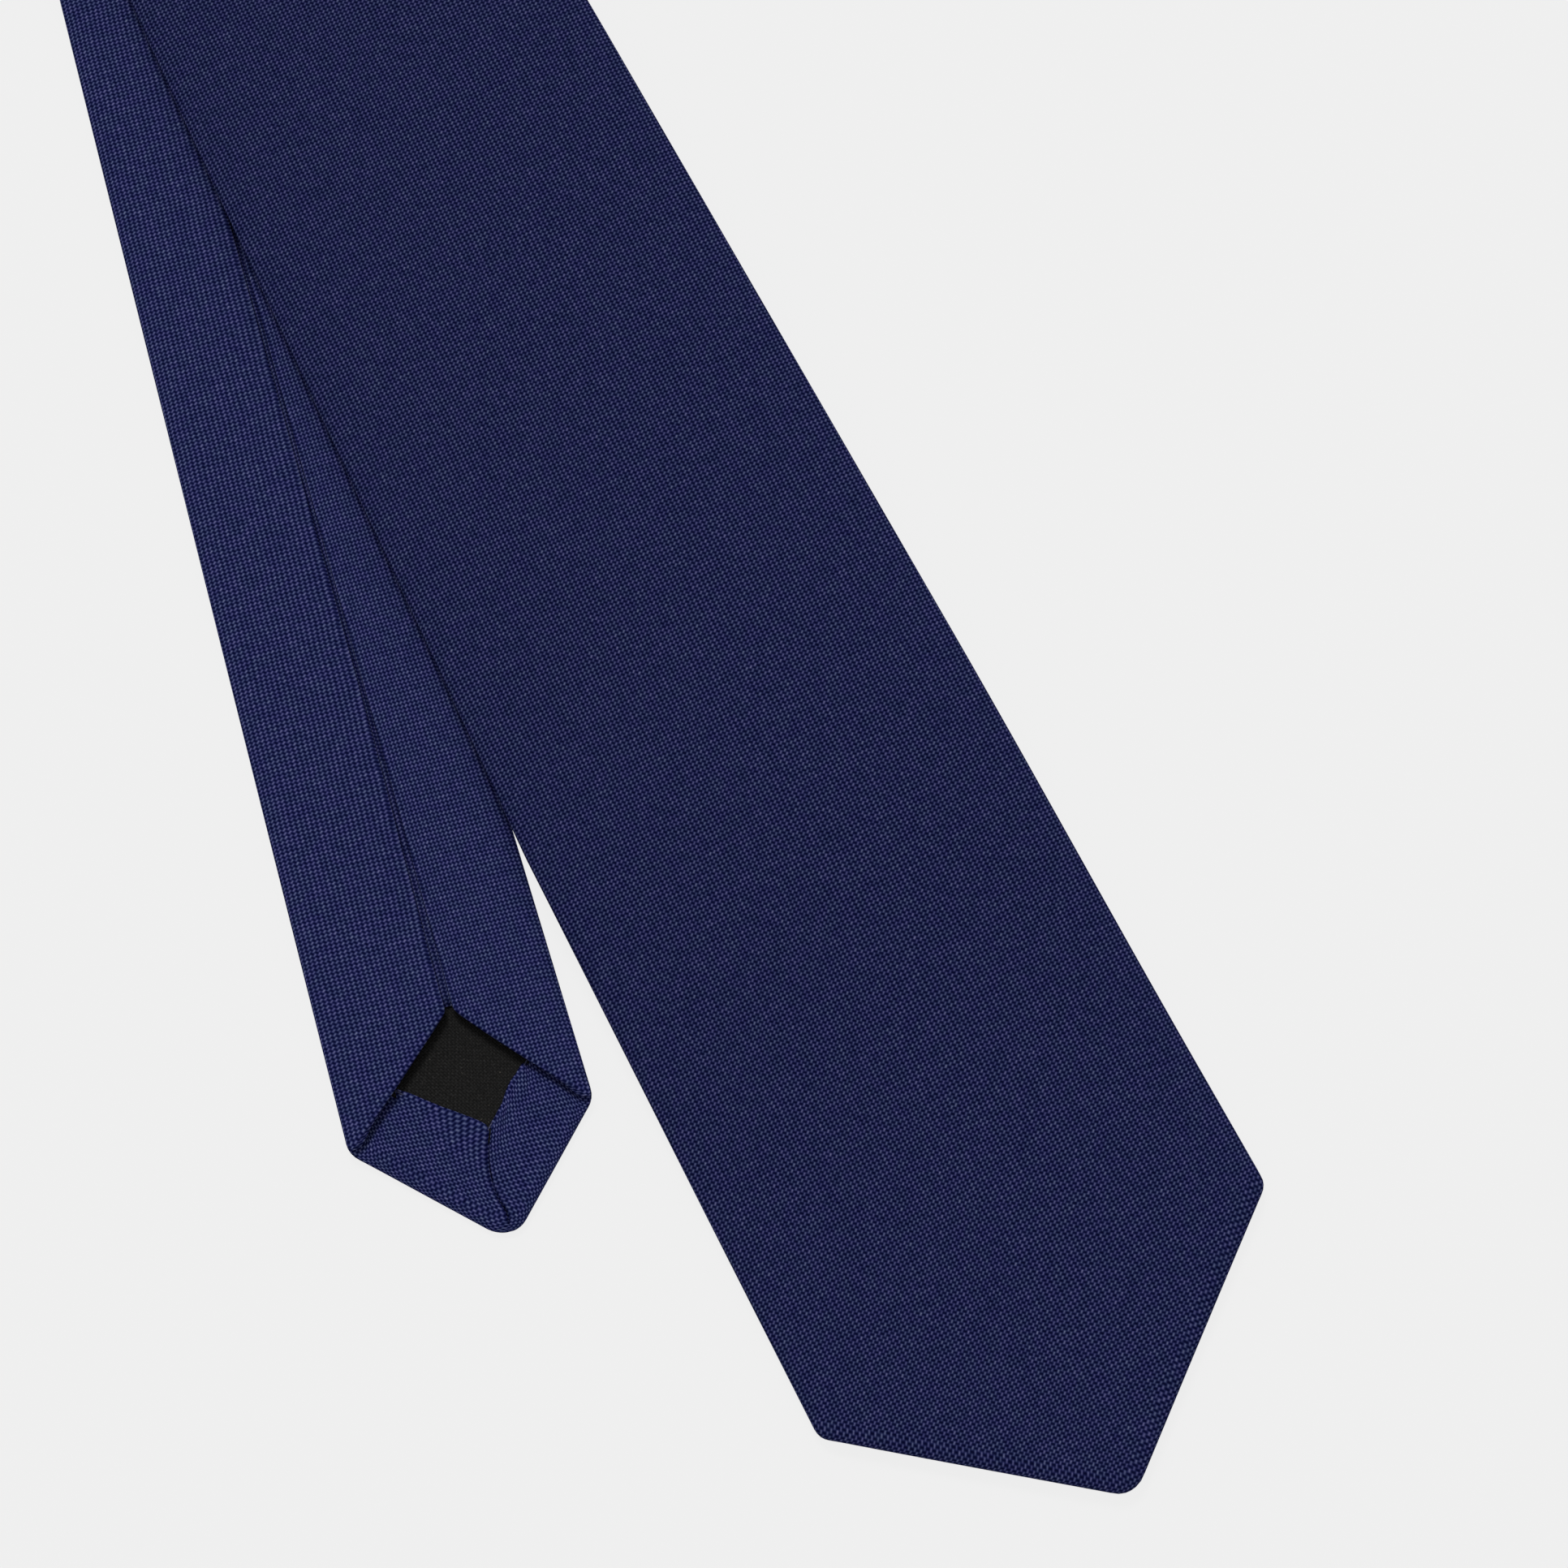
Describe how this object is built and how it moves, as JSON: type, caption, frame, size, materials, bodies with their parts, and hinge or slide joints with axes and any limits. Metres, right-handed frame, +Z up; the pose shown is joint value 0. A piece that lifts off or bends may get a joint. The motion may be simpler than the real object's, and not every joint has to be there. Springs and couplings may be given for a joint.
{
  "type": "necktie",
  "caption": "Navy bias-cut necktie folded over at the neck: pointed front blade face up, narrow tail back up, black lining, hems, keeper loop and slip-stitched back.",
  "frame": {"origin": "on the surface that the tie lies on, in the middle of its footprint", "axes": "+Z up, -Y along the front blade towards its tip, +Y towards the neck fold; the tail lies to the -X side"},
  "size_m": [0.122, 0.7748, 0.012],
  "materials": {
    "navy_cloth": "matt plain weave with a low sheen",
    "lining": "fine black weave",
    "interlining": "napped wool blend",
    "thread": "matt spun thread",
    "label_satin": "plain woven satin, no lettering"
  },
  "bodies": {
    "tail_half": {"neck_fold_shell": "navy_cloth", "neck_fold_interlining": "interlining", "neck_tail_shell": "navy_cloth", "tail_seam_stitches": "thread", "tail_shell": "navy_cloth", "tail_interlining": "interlining", "tail_lining": "lining", "tail_lining_stitches": "thread", "tail_mitre_stitches": "thread", "tail_slip_stitch": "thread"},
    "front_half": {"front_shell": "navy_cloth", "front_interlining": "interlining", "front_slip_stitch": "thread", "front_seam_stitches": "thread", "neck_front_shell": "navy_cloth"},
    "front_blade": {"blade_shell": "navy_cloth", "blade_interlining": "interlining", "blade_lining": "lining", "blade_lining_stitches": "thread", "blade_mitre_stitches": "thread", "blade_bar_tack": "thread", "blade_slip_stitch": "thread", "keeper_loop": "navy_cloth", "keeper_stitches": "thread", "label": "label_satin", "label_stitches": "thread"}
  },
  "joints": [
    {"name": "neck_fold", "type": "hinge", "parent": "tail_half", "child": "front_half", "pos_m": [0.02106, 0.38145, 0.006], "axis": [-1, 0, 0], "range_deg": [0, 179.9], "deforming": ["neck_fold_shell", "neck_fold_interlining"]},
    {"name": "blade_fold", "type": "hinge", "parent": "front_half", "child": "front_blade", "pos_m": [0.02106, -0.04855, 0.0073], "axis": [-1, 0, 0], "range_deg": [0, 179.9]}
  ]
}
